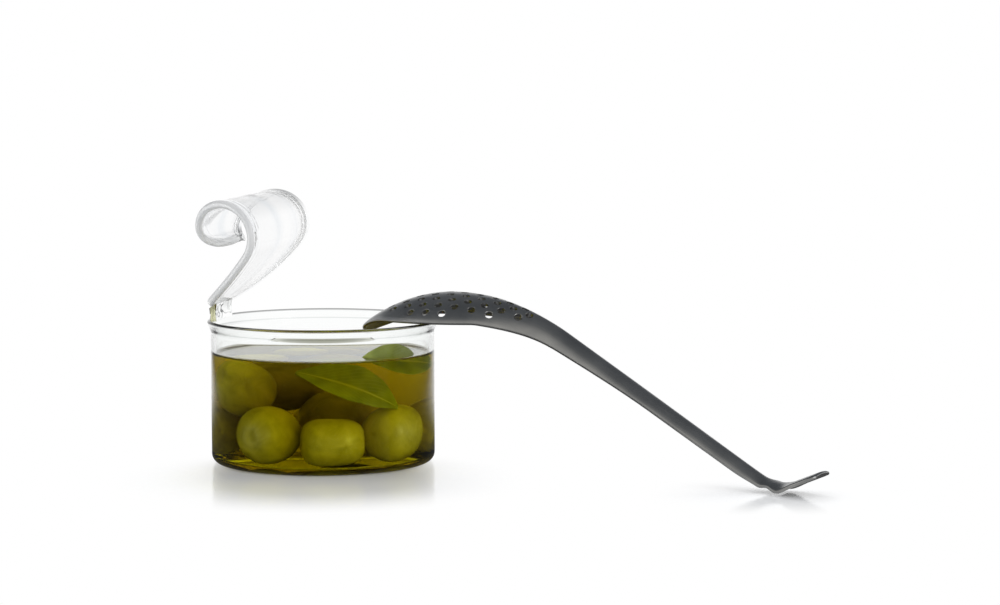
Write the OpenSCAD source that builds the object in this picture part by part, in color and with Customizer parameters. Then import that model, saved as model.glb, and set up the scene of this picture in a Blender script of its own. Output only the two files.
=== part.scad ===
// Glass storage jar in the form of an opened can, with olives in oil and a pierced serving spoon.
// The jar stands on the plane z = 0 with its axis on Z. All sizes are in millimetres.

/* [Jar] */
// Outside diameter of the straight body
body_d = 96; // [84:1:120]
// Height from the table to the top of the rim
jar_h = 61.5; // [54:0.5:90]
// Thickness of the blown wall
wall_t = 2; // [1.4:0.1:3]
// Thickness of the flat bottom
base_t = 2.6; // [1.6:0.1:5]
// Outside radius where the bottom turns up into the wall
corner_r = 4; // [3.2:0.2:8]
// How far the rim stands out from the body on each side
rim_flare = 1.5; // [0.5:0.1:3]
// Height of the flared rim
rim_h = 4; // [3.2:0.1:8]

/* [Rolled lid] */
// Thickness of the lid's glass
lid_t = 2.6; // [1.8:0.1:4]
// Width of the straight edge where the lid leaves the rim
hinge_w = 33; // [24:1:44]
// How far the ends of that edge stay inside the rim's outline
hinge_inset = 0.6; // [0.2:0.1:2]
// Height of that edge above the rim
hinge_h = 6.8; // [5:0.2:12]
// Direction in which the lid was peeled, from the left of the jar towards its back
lid_turn = 10; // [-40:1:40]
// Slope at which the lid leaves the rim
lid_lean = 37; // [30:1:50]
// Straight length at the foot of the lid
foot_l = 6.5; // [5:0.5:12]
// Radius of the gently curved stem
stem_r = 102; // [70:1:160]
// Sweep of the stem
stem_sweep = 15; // [8:1:20]
// Radius of the back of the roll
back_r = 13.8; // [11:0.1:18]
// Sweep of the back of the roll
back_sweep = 107; // [90:1:120]
// Radius of the front of the roll
front_r = 12.9; // [10:0.1:16]
// Sweep of the front of the roll
front_sweep = 109; // [90:1:120]
// Radius of the small curl inside the roll
curl_r = 5.4; // [4.6:0.1:7]
// Sweep of the small curl
curl_sweep = 112; // [80:1:130]
// Thickness of the welded bridge between the rim and the lid
bridge_t = 4.4; // [3:0.1:6]
// How far the bridge reaches down over the rim
bridge_lap = 1; // [0.4:0.1:2]

/* [Contents] */
// Depth from the rim down to the oil
head_h = 14.5; // [12:0.5:24]
// Height to which the oil creeps up the glass
meniscus_h = 1.2; // [0.4:0.1:2]
// Diameter of an olive
olive_d = 23.4; // [18:0.2:25]
// How much longer an olive is than it is wide
olive_longer = 2.2; // [0.6:0.1:4]
// Diameter of the hollow left by an olive's stem
stem_hole_d = 4; // [2:0.5:6]
// Gap kept between loose pieces of the contents
loose_gap = 0.4; // [0.2:0.1:0.8]
// Length of a leaf
leaf_l = 42; // [30:1:50]
// Width of a leaf
leaf_w = 18; // [12:1:20]
// Thickness of a leaf
leaf_t = 0.7; // [0.5:0.1:1.2]
// Angle through which each half of a leaf is folded up
leaf_fold = 20; // [0:1:30]

/* [Spoon bowl] */
// Thickness of the sheet steel
spoon_t = 1.6; // [1:0.1:2.4]
// Width of the bowl
bowl_w = 47; // [36:1:56]
// Depth of the bowl from its edge to its crest
bowl_depth = 11; // [9:0.1:16]
// Distance from the tip to the widest place
bowl_wide_at = 38; // [30:1:44]
// Radius of the crest towards the tip
toe_r = 62; // [56:1:80]
// Sweep of the crest towards the tip
toe_sweep = 44; // [34:1:48]
// How far the tip hangs below the edge of the bowl
toe_droop = 6; // [2:0.5:8]
// Diameter of a drain hole
hole_d = 3.3; // [2:0.1:4.5]
// Distance between the holes of one row
hole_pitch = 7.3; // [6:0.1:10]

/* [Spoon handle] */
// Radius of the crest over the neck
neck_r = 107; // [90:1:140]
// Distance from the tip to the narrow end of the neck
neck_at = 92; // [84:1:110]
// Straight length of the handle
handle_l = 104; // [90:1:140]
// Width of the handle at the neck
neck_w = 12.6; // [9:0.2:16]
// Width of the handle above the bend
handle_w = 9.2; // [7:0.2:14]
// Depth of the channel pressed into the handle
handle_arch = 4.4; // [2:0.2:6]
// Depth of that channel at the bend
bend_arch = 2.4; // [1:0.2:3.6]
// Share of the channel that is pressed out just above the bend
bend_relief = 0.6; // [0:0.05:0.8]
// Radius of the bend that rests on the table
bend_r = 18; // [10:0.5:26]
// Slope of the turned-up tail
tail_rise = 23; // [10:1:35]
// Length of the turned-up tail
tail_l = 11; // [8:0.5:20]
// Width of the tail
tail_w = 17; // [10:0.5:22]

/* [Spoon on the jar] */
// Direction of the spoon in plan, measured from the X axis to the handle
spoon_turn = -30; // [-60:1:20]
// How far the spoon's centre line passes from the jar's axis
spoon_offset = 16.3; // [0:0.1:24]
// How far the tip reaches in past the rim
spoon_reach = 33.4; // [22:0.2:40]
// Gap under the spoon at the rim and at the table
rest_gap = 0.3; // [0.2:0.05:0.6]

/* [Hidden] */

$fn = 96;
eps = 0.01;
glass_tint = [0.88, 0.93, 0.93, 0.35];
oil_tint = [0.55, 0.50, 0.06, 0.7];
olive_tint = [0.50, 0.50, 0.12];
leaf_tint = [0.27, 0.42, 0.10];
steel_tint = [0.30, 0.32, 0.35];

// Jar
body_r = body_d / 2;
inner_r = body_r - wall_t;
rim_r = body_r + rim_flare;
lip_r = wall_t / 2;
lip_z = jar_h - lip_r;
flare_z = jar_h - rim_h;

// Lid: a disc as wide as the rim, rolled up from a straight chord
hinge_c = sqrt(rim_r * rim_r - hinge_w * hinge_w / 4);
hinge_x = sqrt(pow(rim_r - hinge_inset, 2) - hinge_w * hinge_w / 4);
hinge_z = jar_h + hinge_h;
lid_len = rim_r + hinge_c;
roll = [[foot_l, 0], [stem_r * rad(stem_sweep), stem_r], [back_r * rad(back_sweep), back_r],
    [front_r * rad(front_sweep), front_r], [curl_r * rad(curl_sweep), curl_r], [lid_len, 0]];
roll_start = [for (i = 0, s = 0; i < len(roll); s = s + roll[i][0], i = i + 1) s];
roll_head = [for (i = 0, a = lid_lean; i < len(roll); a = a + turn_of(roll[i]), i = i + 1) a];
roll_point = [for (i = 0, p = [0, 0]; i < len(roll); p = p + step_of(i, roll[i][0]), i = i + 1) p];
lid_stations = 72;
edge_points = 6;

// Contents: the oil keeps a film's thickness off whatever it touches
film = loose_gap / 4;
oil_z = jar_h - head_h;
oil_r = inner_r - film;
creep_t = loose_gap / 2;
olive_r = olive_d / 2;
olive_l = olive_d + olive_longer;
olive_h = olive_l / 2;
wall_gap = 6 * loose_gap;
ring_r = inner_r - olive_r - wall_gap;
ring_step = 2 * asin((olive_l + loose_gap) / (2 * ring_r));
front_turn = 280;

// Spoon: distances run from the tip along the handle, heights are those of the sheet's middle
edge_z = jar_h + rest_gap + spoon_t / 2;
crest_z = edge_z + bowl_depth;
bend_z = rest_gap + spoon_t / 2 + bend_arch;
crest_x = toe_r * sin(toe_sweep);
round_r = neck_r + bend_r;
handle_slope = atan2(round_r, handle_l)
    + asin((crest_z - bend_z - round_r) / sqrt(handle_l * handle_l + round_r * round_r));
handle_x = crest_x + neck_r * sin(handle_slope);
handle_z = crest_z - neck_r * (1 - cos(handle_slope));
bend_x = handle_x + handle_l * cos(handle_slope) + bend_r * sin(handle_slope);
tail_x = bend_x + bend_r * sin(tail_rise);
tail_z = bend_z + bend_r * (1 - cos(tail_rise));
end_x = tail_x + tail_l * cos(tail_rise);
arc_half = 70;
droop_l = 0.58 * bowl_wide_at;
level_l = 1.63 * bowl_wide_at;
arch_l = 0.75 * handle_l;
bend_l = 1.8 * tail_l;
tip_x = sqrt(rim_r * rim_r - spoon_offset * spoon_offset) - spoon_reach;

function rad(a) = a * PI / 180;
function smooth(u) = let (v = min(max(u, 0), 1)) v * v * (3 - 2 * v);
function unit(v) = v / norm(v);

// Rolled lid: the sheet's middle line in the plane of the roll, from the hinge inwards and upwards
function turn_of(seg) = seg[1] == 0 ? 0 : seg[0] / seg[1] * 180 / PI;
function step_of(i, s) =
    let (a = roll_head[i], r = roll[i][1], b = r == 0 ? a : a + s / r * 180 / PI)
    r == 0 ? s * [-cos(a), sin(a)] : r * [sin(a) - sin(b), cos(a) - cos(b)];
function seg_at(s) = max([for (i = [0 : len(roll) - 1]) s >= roll_start[i] ? i : 0]);
function roll_at(s) = let (i = seg_at(s)) roll_point[i] + step_of(i, s - roll_start[i]);
function heading_at(s) =
    let (i = seg_at(s)) roll_head[i] + turn_of([s - roll_start[i], roll[i][1]]);
function lid_half(s) = sqrt(max(0, rim_r * rim_r - pow(s - hinge_c, 2)));
function lid_edge(s) = let (e = lid_t / 2, q = max(0, (s - lid_len) / e + 1)) e * sqrt(1 - q * q);
function lid_ring(s) =
    let (p = roll_at(s), h = heading_at(s), e = lid_edge(s), w = max(lid_half(s) - e, eps))
    [for (side = [1, -1], k = [0 : edge_points - 1])
        let (a = (side == 1 ? 90 : 270) - 180 * k / (edge_points - 1), n = e * sin(a))
        [p[0] + n * sin(h), side * w + e * cos(a), p[1] + n * cos(h)]];

// Olives: plan place [turn, distance], size against the usual olive, tilt of the long axis and its turn
function ring_turn(n) = front_turn + n * ring_step;
function low_z(size) = base_t + loose_gap + size * olive_r;
function on_ring(n, size) = let (a = ring_turn(n)) [ring_r * cos(a), ring_r * sin(a), low_z(size)];
function apart(a, b) = (a + b) * (olive_r + olive_h) / 2 + loose_gap;
function settle(p, size, below) = max([for (b = below)
    b[0][2] + sqrt(max(0, pow(apart(size, b[1]), 2) - pow(norm([p[0] - b[0][0], p[1] - b[0][1]]), 2)))]);
function stacked(turn, away, size, below) =
    let (p = [away * cos(turn), away * sin(turn)]) [p[0], p[1], settle(p, size, below)];

small = 0.85;
large = 1.12;
centre_turn = 15;
centre_away = 0.9 * (ring_r - loose_gap - large * olive_r - olive_h);
back_right_n = 2.2;
back_n = 3.4;
left_n = -2.3;
upper_left_away = 0.91 * ring_r;
upper_left_turn = (ring_turn(-1) + ring_turn(left_n)) / 2;
upper_back_away = 0.55 * ring_r;
upper_back_turn = (ring_turn(left_n) + ring_turn(back_n) - 360) / 2;
place_front_left = [on_ring(-1, 1), 1, 90, 230];
place_front = [on_ring(0, small), small, 90, 8];
place_front_right = [on_ring(1, 1), 1, 90, 60];
place_back_right = [on_ring(back_right_n, 1), 1, 90, 110];
place_back = [on_ring(back_n, 1), 1, 90, 20];
place_left = [on_ring(left_n, 1), 1, 90, 75];
place_centre = [[centre_away * cos(centre_turn), centre_away * sin(centre_turn),
    base_t + loose_gap + large * olive_h], large, 0, 0];
below_upper_left = [place_front_left, place_left, place_centre];
below_upper_back = [place_left, place_back, place_centre];
place_upper_left = [stacked(upper_left_turn, upper_left_away, 1, below_upper_left), 1, 70, 200];
place_upper_back = [stacked(upper_back_turn, upper_back_away, 1, below_upper_back), 1, 60, 30];
olives = [place_front_left, place_front, place_front_right, place_back_right, place_back, place_left,
    place_centre, place_upper_left, place_upper_back];
stem_lift = stem_hole_d / 3;
stem_end_r = 0.92 * olive_r;
stem_end_y = olive_h - stem_end_r;
blunt_end_y = olive_r - olive_h;
flank_a = asin((olive_r - stem_end_r) / (stem_end_y - blunt_end_y));

// Leaves: half width along the length, and a ring round the blade at one place
leaf_stations = 20;
leaf_points = 6;
leaf_sag = leaf_w / 6;
leaf_taper = 0.8;
leaf_end = 0.02;
front_leaf_at = [0.25 * inner_r, -0.56 * inner_r, oil_z - 0.62 * leaf_w];
front_leaf_tilt = [47, 22, 0];
right_leaf_at = [0.67 * inner_r, -0.26 * inner_r, oil_z - leaf_w / 9];
right_leaf_tilt = [68, 8, 35];
right_leaf_size = 0.74;
function leaf_half(u) = leaf_w / 2 * pow(sin(180 * u), leaf_taper);
function leaf_point(u, v, h, grow) =
    let (y = v * (leaf_half(u) + grow))
    [(leaf_l + 2 * grow) * (u - 0.5), y, abs(y) * tan(leaf_fold) - leaf_sag * pow(2 * u - 1, 2) + h];
function leaf_ring(u, grow) =
    let (k = leaf_points, h = leaf_t / 2 + grow) concat(
        [for (j = [0 : k]) leaf_point(u, 2 * j / k - 1, h, grow)],
        [for (j = [k : -1 : 0]) leaf_point(u, 2 * j / k - 1, -h, grow)]);

// Spoon: crest line, half width, channel depth and the middle of the sheet
function crest(x) =
    x <= crest_x ? crest_z - toe_r + sqrt(toe_r * toe_r - pow(crest_x - x, 2))
    : x <= handle_x ? crest_z - neck_r + sqrt(neck_r * neck_r - pow(x - crest_x, 2))
    : x <= handle_x + handle_l * cos(handle_slope) ? handle_z - (x - handle_x) * tan(handle_slope)
    : x <= tail_x ? bend_z + bend_r - sqrt(bend_r * bend_r - pow(x - bend_x, 2))
    : tail_z + (x - tail_x) * tan(tail_rise);
function spoon_half(x) =
    x <= bowl_wide_at ? bowl_w / 2 * sqrt(1 - pow(1 - x / bowl_wide_at, 2))
    : x <= neck_at ? let (u = (x - bowl_wide_at) / (neck_at - bowl_wide_at))
        neck_w / 2 + (bowl_w - neck_w) / 4 * (1 + cos(180 * u))
    : x <= flare_x ? let (u = (x - neck_at) / (flare_x - neck_at)) (neck_w + (handle_w - neck_w) * u) / 2
    : tail_half(x) * sqrt(1 - tail_blunt * pow(max(0, (x - end_x) / tail_round + 1), 2));
function tail_half(x) = (handle_w + (tail_w - handle_w) * smooth((x - flare_x) / flare_l)) / 2;
function spoon_arch(x) =
    x <= droop_l ? crest(x) - edge_z + toe_droop * pow(1 - x / droop_l, 2)
    : x <= level_l ? crest(x) - edge_z
    : x <= bend_x - bend_l ? let (d = crest(level_l) - edge_z)
        d + (handle_arch - d) * smooth((x - level_l) / arch_l)
    : x <= bend_x ? (1 - bend_relief * smooth(1 - abs(x - relief_x) / relief_half))
        * (handle_arch + (bend_arch - handle_arch) * smooth((x - bend_x) / bend_l + 1))
    : bend_arch + (tail_arch - bend_arch) * smooth((x - bend_x) / tail_fade);
function spoon_at(x, u) = [x, spoon_half(x) * sin(arc_half * u) / sin(arc_half),
    crest(x) - spoon_arch(x) * (1 - cos(arc_half * u)) / (1 - cos(arc_half))];
function spoon_normal(x, u) =
    let (a = max(x - probe_x, tip_end), b = min(x + probe_x, end_x))
    let (c = max(u - probe_u, -1), d = min(u + probe_u, 1))
    unit(cross(spoon_at(b, u) - spoon_at(a, u), spoon_at(x, d) - spoon_at(x, c)));
function spoon_ring(x) = concat(
    [for (j = [0 : spoon_points]) let (u = 2 * j / spoon_points - 1)
        spoon_at(x, u) + spoon_t / 2 * spoon_normal(x, u)],
    [for (j = [spoon_points : -1 : 0]) let (u = 2 * j / spoon_points - 1)
        spoon_at(x, u) - spoon_t / 2 * spoon_normal(x, u)]);
function section_l(x) = sqrt(pow(spoon_half(x), 2) + 4 / 3 * pow(spoon_arch(x), 2));

flare_l = bend_l;
flare_x = bend_x - 0.6 * flare_l;
relief_x = bend_x - 0.2 * bend_l;
relief_half = 0.22 * bend_l;
tail_round = 0.2 * tail_w;
tail_blunt = 0.4;
tail_arch = bend_arch / 3;
tail_fade = 0.45 * (end_x - bend_x);
tip_end = spoon_t / 4;
probe_x = spoon_t / 8;
probe_u = 0.02;
spoon_points = 12;
toe_steps = 10;
bowl_steps = 16;
handle_steps = 9;
tail_steps = 24;
spoon_stations = concat(
    [for (i = [0 : toe_steps]) tip_end + (bowl_wide_at - tip_end) * (1 - cos(90 * i / toe_steps))],
    [for (i = [1 : bowl_steps]) bowl_wide_at + (neck_at - bowl_wide_at) * i / bowl_steps],
    [for (i = [1 : handle_steps]) neck_at + (flare_x - neck_at) * i / handle_steps],
    [for (i = [1 : tail_steps]) let (u = i / tail_steps)
        flare_x + (end_x - flare_x) * (u + sin(90 * u)) / 2]);

// Drain holes: staggered rows that draw together towards the neck
row_pitch = 0.7 * hole_pitch;
rows_aside = 4;
hole_first = bowl_wide_at / 2;
hole_last = 0.91 * neck_at;
hole_margin = 1.5 * hole_d;
hole_sides = 24;
function row_shift(k, x) = k * row_pitch * (0.5 + spoon_half(x) / bowl_w);
holes = [for (k = [-rows_aside : rows_aside])
    for (x = [hole_first + (k % 2 == 0 ? 0 : hole_pitch / 2) : hole_pitch : hole_last])
        let (v = row_shift(k, x), l = section_l(x)) if (abs(v) < l - hole_margin) [x, v / l]];

// A skin over a row of rings; each end is closed by a strip between the two halves of its ring
module skin(rings) {
    m = len(rings[0]);
    n = len(rings);
    z = (n - 1) * m;
    sides = [for (i = [0 : n - 2], j = [0 : m - 1]) let (k = (j + 1) % m)
        each [[i * m + j, i * m + k, i * m + m + k], [i * m + j, i * m + m + k, i * m + m + j]]];
    first = [for (j = [0 : m / 2 - 2]) each [[m - 2 - j, j + 1, j], [m - 1 - j, m - 2 - j, j]]];
    last = [for (j = [0 : m / 2 - 2])
        each [[z + j, z + j + 1, z + m - 2 - j], [z + j, z + m - 2 - j, z + m - 1 - j]]];
    polyhedron([for (r = rings) each r], concat(sides, first, last), convexity = 6);
}

// A straight vessel with a rounded bottom corner, as half of its upright section
module vessel(radius, bottom, top, corner) {
    translate([0, bottom]) square([radius - corner, top - bottom]);
    translate([0, bottom + corner]) square([radius, top - bottom - corner]);
    translate([radius - corner, bottom + corner]) circle(r = corner);
}

module jar_section() {
    difference() {
        vessel(body_r, 0, flare_z, corner_r);
        vessel(inner_r, base_t, jar_h, corner_r - wall_t);
    }
    polygon([[body_r, flare_z], [rim_r, lip_z], [rim_r - wall_t, lip_z], [inner_r, flare_z]]);
    translate([rim_r - lip_r, lip_z]) circle(r = lip_r);
}

module at_lid() {
    rotate([0, 0, 180 - lid_turn]) children();
}

// Half of an olive's section: two round ends and the straight flank that touches both
module olive_section() {
    flank = [cos(flank_a), sin(flank_a)];
    intersection() {
        union() {
            translate([0, blunt_end_y]) circle(r = olive_r);
            translate([0, stem_end_y]) circle(r = stem_end_r);
            polygon([[0, blunt_end_y], [0, blunt_end_y] + olive_r * flank,
                [0, stem_end_y] + stem_end_r * flank, [0, stem_end_y]]);
        }
        translate([0, -olive_h]) square([olive_r, olive_l]);
    }
}

module olive_oval() {
    rotate_extrude() olive_section();
}

module stem_hollow() {
    translate([0, 0, olive_h + stem_lift]) sphere(d = stem_hole_d);
}

module at_olive(place) {
    translate(place[0]) rotate([0, place[2], place[3]]) children();
}

module olive(place) {
    color(olive_tint) at_olive(place) scale(place[1]) difference() {
        olive_oval();
        stem_hollow();
    }
}

module leaf_blade(grow = 0) {
    span = 1 - 2 * leaf_end;
    skin([for (i = [0 : leaf_stations]) leaf_ring(leaf_end + span * i / leaf_stations, grow)]);
}

module at_leaf_front() {
    translate(front_leaf_at) rotate(front_leaf_tilt) children();
}

module at_leaf_right() {
    translate(right_leaf_at) rotate(right_leaf_tilt) scale(right_leaf_size) children();
}

module drain_hole(place) {
    n = spoon_normal(place[0], place[1]);
    translate(spoon_at(place[0], place[1])) rotate([0, acos(n[2]), atan2(n[1], n[0])])
        cylinder(d = hole_d, h = 4 * spoon_t, center = true, $fn = hole_sides);
}

// Sub-parts
module jar_body() {
    color(glass_tint) rotate_extrude() jar_section();
}

module lid_bridge() {
    middle_r = rim_r - hinge_inset / 2 - bridge_t / 2;
    half_turn = asin((hinge_w - bridge_t) / 2 / middle_r);
    foot_z = jar_h - bridge_lap;
    tall = hinge_h + bridge_lap + bridge_t;
    color(glass_tint) at_lid() difference() {
        union() {
            rotate([0, 0, -half_turn]) rotate_extrude(angle = 2 * half_turn)
                translate([middle_r - bridge_t / 2, foot_z]) square([bridge_t, tall]);
            for (side = [-1, 1]) rotate([0, 0, side * half_turn])
                translate([middle_r, 0, foot_z]) cylinder(d = bridge_t, h = tall);
        }
        rotate_extrude() jar_section();
        translate([hinge_x, 0, hinge_z]) rotate([0, lid_lean, 0])
            translate([-hinge_w, -hinge_w, -lid_t / 2]) cube(2 * hinge_w);
    }
}

module lid_curl() {
    color(glass_tint) at_lid() translate([hinge_x, 0, hinge_z])
        skin([for (i = [0 : lid_stations]) lid_ring((lid_len - eps) * sin(90 * i / lid_stations))]);
}

module oil() {
    m = meniscus_h;
    color(oil_tint) difference() {
        rotate_extrude() {
            vessel(oil_r, base_t + film, oil_z, corner_r - wall_t);
            difference() {
                translate([oil_r - m, oil_z - m]) square([m, 2 * m]);
                translate([oil_r - m - creep_t, oil_z + m]) circle(r = m);
            }
        }
        for (place = olives) at_olive(place) scale(place[1] + film / olive_r) olive_oval();
        at_leaf_front() leaf_blade(film);
        at_leaf_right() leaf_blade(film);
    }
}

module olive_front_left() { olive(place_front_left); }
module olive_front() { olive(place_front); }
module olive_front_right() { olive(place_front_right); }
module olive_back_right() { olive(place_back_right); }
module olive_back() { olive(place_back); }
module olive_left() { olive(place_left); }
module olive_centre() { olive(place_centre); }
module olive_upper_left() { olive(place_upper_left); }
module olive_upper_back() { olive(place_upper_back); }

module leaf_front() {
    color(leaf_tint) at_leaf_front() leaf_blade();
}

module leaf_right() {
    color(leaf_tint) at_leaf_right() leaf_blade();
}

module spoon() {
    color(steel_tint) rotate([0, 0, spoon_turn]) translate([tip_x, spoon_offset, 0]) difference() {
        skin([for (x = spoon_stations) spoon_ring(x)]);
        for (place = holes) drain_hole(place);
    }
}

jar_body();
lid_bridge();
lid_curl();
oil();
olive_front_left();
olive_front();
olive_front_right();
olive_back_right();
olive_back();
olive_left();
olive_centre();
olive_upper_left();
olive_upper_back();
leaf_front();
leaf_right();
spoon();
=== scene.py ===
"""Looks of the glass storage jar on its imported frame: glass, oil, olives, leaves, pierced spoon.

Sizes are in millimetres, as in the part's source, and turn into metres when a mesh is made.
"""

import math

import bpy
import numpy as np
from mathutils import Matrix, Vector, noise
from mathutils.geometry import delaunay_2d_cdt


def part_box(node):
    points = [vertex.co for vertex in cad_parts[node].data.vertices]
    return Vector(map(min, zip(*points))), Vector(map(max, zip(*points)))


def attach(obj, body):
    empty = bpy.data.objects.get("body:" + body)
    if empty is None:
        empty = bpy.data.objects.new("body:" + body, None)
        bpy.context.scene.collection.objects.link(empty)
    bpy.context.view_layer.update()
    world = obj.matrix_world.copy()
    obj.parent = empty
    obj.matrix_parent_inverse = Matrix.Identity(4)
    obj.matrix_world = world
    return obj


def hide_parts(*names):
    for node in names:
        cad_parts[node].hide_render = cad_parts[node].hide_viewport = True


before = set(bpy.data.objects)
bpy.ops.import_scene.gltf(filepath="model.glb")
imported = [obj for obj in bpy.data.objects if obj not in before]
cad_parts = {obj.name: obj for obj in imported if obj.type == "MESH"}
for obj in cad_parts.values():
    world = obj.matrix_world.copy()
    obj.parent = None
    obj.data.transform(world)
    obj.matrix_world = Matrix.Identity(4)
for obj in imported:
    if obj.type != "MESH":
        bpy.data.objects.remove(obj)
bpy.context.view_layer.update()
MM = 0.001


# Mesh helpers


def piece(name, points, faces, materials, body, nodes, face_slots=None, sharp=40):
    """A mesh piece from points in millimetres, which rides a body and stands for CAD nodes."""
    mesh = bpy.data.meshes.new(name)
    mesh.from_pydata([tuple(p) for p in np.asarray(points, float) * MM], [], faces)
    for material in materials:
        mesh.materials.append(material)
    if face_slots is not None:
        mesh.polygons.foreach_set("material_index", face_slots)
    mesh.validate()
    mesh.shade_smooth()
    mesh.set_sharp_from_angle(angle=math.radians(sharp))
    obj = bpy.data.objects.new(name, mesh)
    bpy.context.scene.collection.objects.link(obj)
    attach(obj, body)
    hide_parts(*nodes)
    return obj


def loop_faces(rows, cols, start=0):
    """Quads of a grid of points whose rows are closed loops."""
    return [
        (
            start + i * cols + j,
            start + i * cols + (j + 1) % cols,
            start + (i + 1) * cols + (j + 1) % cols,
            start + (i + 1) * cols + j,
        )
        for i in range(rows - 1)
        for j in range(cols)
    ]


def arc(centre, radius, start, end, steps):
    """Points of an arc in the plane of a section; angles in degrees."""
    a = np.radians(np.linspace(start, end, steps + 1))
    return [(centre[0] + radius * math.cos(t), centre[1] + radius * math.sin(t)) for t in a]


def line(start, end, steps):
    """Points from start to end, without the first one."""
    return [
        tuple(np.array(start) + (np.array(end) - np.array(start)) * i / steps)
        for i in range(1, steps + 1)
    ]


def lathe(profile, segments, wave=None):
    """A body of revolution from a section that starts and ends on the axis.

    The wave gives how far a point strays outwards at a height and a turn.
    """
    rings = np.array(profile[1:-1])
    turns = np.linspace(0, 2 * math.pi, segments, endpoint=False)
    points = [(0, 0, profile[0][1])]
    for r, z in rings:
        for t in turns:
            q = r + (wave(z, t) if wave else 0)
            points.append((q * math.cos(t), q * math.sin(t), z))
    points.append((0, 0, profile[-1][1]))
    faces = loop_faces(len(rings), segments, 1)
    last = 1 + (len(rings) - 1) * segments
    first_cap = [(0, 1 + (j + 1) % segments, 1 + j) for j in range(segments)]
    last_cap = [
        (len(points) - 1, last + j, last + (j + 1) % segments) for j in range(segments)
    ]
    return points, first_cap + faces + last_cap


def turned(points, degrees, offset=(0, 0, 0)):
    """Points moved by offset, then turned about the Z axis."""
    a = math.radians(degrees)
    p = np.asarray(points, float) + np.array(offset)
    x = p[:, 0] * math.cos(a) - p[:, 1] * math.sin(a)
    y = p[:, 0] * math.sin(a) + p[:, 1] * math.cos(a)
    return np.column_stack([x, y, p[:, 2]])


def smooth(u):
    """An eased step from 0 to 1."""
    v = np.clip(u, 0, 1)
    return v * v * (3 - 2 * v)


# Material helpers


def new_material(name):
    """A node material with its tree, its Principled shader and its output."""
    material = bpy.data.materials.new(name)
    material.use_nodes = True
    tree = material.node_tree
    return material, tree, tree.nodes["Principled BSDF"], tree.nodes["Material Output"]


def node(tree, kind, inputs=None, **settings):
    """A shader node with its settings and its input values or links."""
    made = tree.nodes.new("ShaderNode" + kind)
    for key, value in settings.items():
        setattr(made, key, value)
    for key, value in (inputs or {}).items():
        if isinstance(value, bpy.types.NodeSocket):
            tree.links.new(value, made.inputs[key])
        else:
            made.inputs[key].default_value = value
    return made


def ramp(tree, value, *stops):
    """A colour ramp over a value; each stop is a place and a colour."""
    made = node(tree, "ValToRGB", {"Fac": value})
    elements = made.color_ramp.elements
    while len(elements) < len(stops):
        elements.new(0.5)
    for element, (place, colour) in zip(elements, stops):
        element.position = place
        element.color = (*colour, 1)
    return made.outputs["Color"]


def grained(tree, scale, detail=3, stretch=(1, 1, 1), distortion=0):
    """Noise in object space, in cells per metre."""
    place = node(tree, "TexCoord").outputs["Object"]
    mapped = node(tree, "Mapping", {"Vector": place, "Scale": stretch})
    return node(
        tree,
        "TexNoise",
        {
            "Vector": mapped.outputs["Vector"],
            "Scale": scale,
            "Detail": detail,
            "Distortion": distortion,
        },
    ).outputs["Fac"]


def calc(tree, operation, a, b=0.0, clamp=False):
    """A value worked out from one or two others."""
    return node(tree, "Math", {0: a, 1: b}, operation=operation, use_clamp=clamp).outputs[0]


def product(tree, first, *others):
    """Values multiplied together."""
    for other in others:
        first = calc(tree, "MULTIPLY", first, other)
    return first


def ranged(tree, value, start, end, first, last):
    """A value between start and end brought to the range from first to last."""
    ends = {"From Min": start, "From Max": end, "To Min": first, "To Max": last}
    return node(tree, "MapRange", {"Value": value, **ends}).outputs["Result"]


def spread(tree, value, low, high):
    """A value from 0 to 1 brought to another range."""
    return ranged(tree, value, 0, 1, low, high)


def fade(tree, value, start, end):
    """An eased step from 0 at one value to 1 at another, which may be the smaller one."""
    ends = {"Value": value, "From Min": start, "From Max": end}
    return node(tree, "MapRange", ends, interpolation_type="SMOOTHSTEP").outputs["Result"]


def blend(tree, share, a, b, kind="RGBA"):
    """A mix of two colours, or of two values."""
    return node(tree, "Mix", {"Factor": share, "A": a, "B": b}, data_type=kind).outputs["Result"]


def bump(tree, height, strength, distance):
    """A normal from a height; the distance is in metres."""
    ends = {"Height": height, "Strength": strength, "Distance": distance}
    return node(tree, "Bump", ends).outputs["Normal"]


# Materials


GLASS_IOR, LID_IOR = 1.47, 1.33
LAMP_RAYS = ("Is Shadow Ray",)
INSIDE_RAYS = ("Is Transmission Ray",)
BOUNCED_RAYS = ("Is Diffuse Ray", "Is Glossy Ray", "Is Transmission Ray")


def clear(tree, tint=(1, 1, 1)):
    """A shader that lets light straight on, with a tint."""
    return node(tree, "BsdfTransparent", {"Color": (*tint, 1)}).outputs["BSDF"]


def for_rays(tree, kinds, surface, other):
    """A surface that is another one for rays of these kinds."""
    path = node(tree, "LightPath")
    for kind in kinds:
        mixed = node(tree, "MixShader", {0: path.outputs[kind], 1: surface, 2: other})
        surface = mixed.outputs["Shader"]
    return surface


def pass_on(tree, kinds, shader, output, tint=(1, 1, 1)):
    """Rays of these kinds go straight on through a clear surface, with a tint."""
    past = for_rays(tree, kinds, shader.outputs["BSDF"], clear(tree, tint))
    tree.links.new(past, output.inputs["Surface"])


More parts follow.
